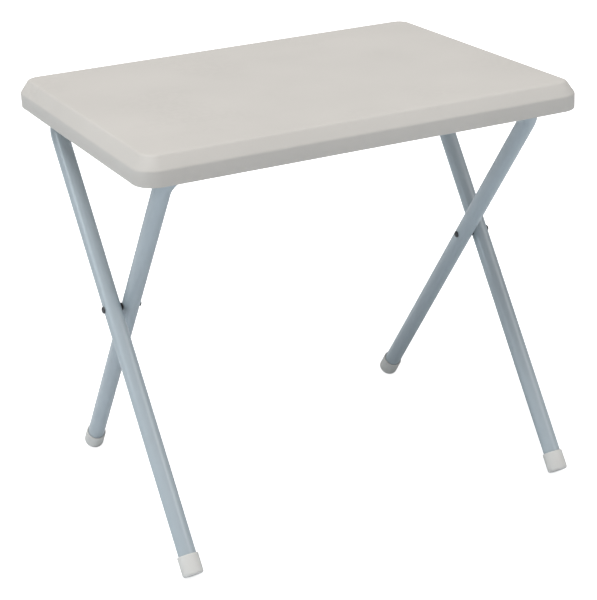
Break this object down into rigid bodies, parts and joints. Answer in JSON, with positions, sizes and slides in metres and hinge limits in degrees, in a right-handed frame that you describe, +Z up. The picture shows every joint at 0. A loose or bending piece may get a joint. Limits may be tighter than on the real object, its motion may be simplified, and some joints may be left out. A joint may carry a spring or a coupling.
{
  "type": "folding tray table",
  "caption": "Small folding tray table: a rectangular ribbed plastic top with a sloping border on two crossing U-shaped tube frames with plastic foot caps.",
  "frame": {"origin": "on the floor, under the middle of the bounding box in the open position", "axes": "+X along the long side of the top, +Y from the front to the back, +Z up"},
  "size_m": [0.57, 0.4346, 0.5185],
  "materials": {
    "top_plastic": "off-white moulded plastic, finely grained, satin",
    "tube_paint": "pale blue-grey enamel, satin",
    "cap_plastic": "off-white plastic, satin",
    "fixing_plastic": "light grey plastic",
    "zinc_steel": "zinc plated",
    "rivet_steel": "blackened",
    "washer_plastic": "black nylon"
  },
  "bodies": {
    "top": {"table_top": "top_plastic", "hinge_block_left": "fixing_plastic", "hinge_strap_left": "zinc_steel", "snap_clip_left": "fixing_plastic", "hinge_screw_left_front": "zinc_steel", "hinge_screw_left_back": "zinc_steel", "clip_screw_left_a": "zinc_steel", "clip_screw_left_b": "zinc_steel", "hinge_block_right": "fixing_plastic", "hinge_strap_right": "zinc_steel", "snap_clip_right": "fixing_plastic", "hinge_screw_right_front": "zinc_steel", "hinge_screw_right_back": "zinc_steel", "clip_screw_right_a": "zinc_steel", "clip_screw_right_b": "zinc_steel"},
    "inner_legs": {"inner_frame": "tube_paint", "foot_cap_rear_left": "cap_plastic", "pivot_rivet_left": "rivet_steel", "spacer_washer_left": "washer_plastic", "foot_cap_rear_right": "cap_plastic", "pivot_rivet_right": "rivet_steel", "spacer_washer_right": "washer_plastic"},
    "outer_legs": {"outer_frame": "tube_paint", "foot_cap_front_left": "cap_plastic", "foot_cap_front_right": "cap_plastic"}
  },
  "joints": [
    {"name": "frame_hinge", "type": "hinge", "parent": "top", "child": "inner_legs", "pos_m": [0, -0.1757, 0.495], "axis": [1, 0, 0], "range_deg": [0, 31.84]},
    {"name": "scissor", "type": "hinge", "parent": "inner_legs", "child": "outer_legs", "pos_m": [0, -0.01239, 0.27804], "axis": [-1, 0, 0], "range_deg": [0, 99.5]}
  ],
  "couplings": [
    {"joint": "frame_hinge", "follows": "scissor", "ratio": 0.32}
  ]
}
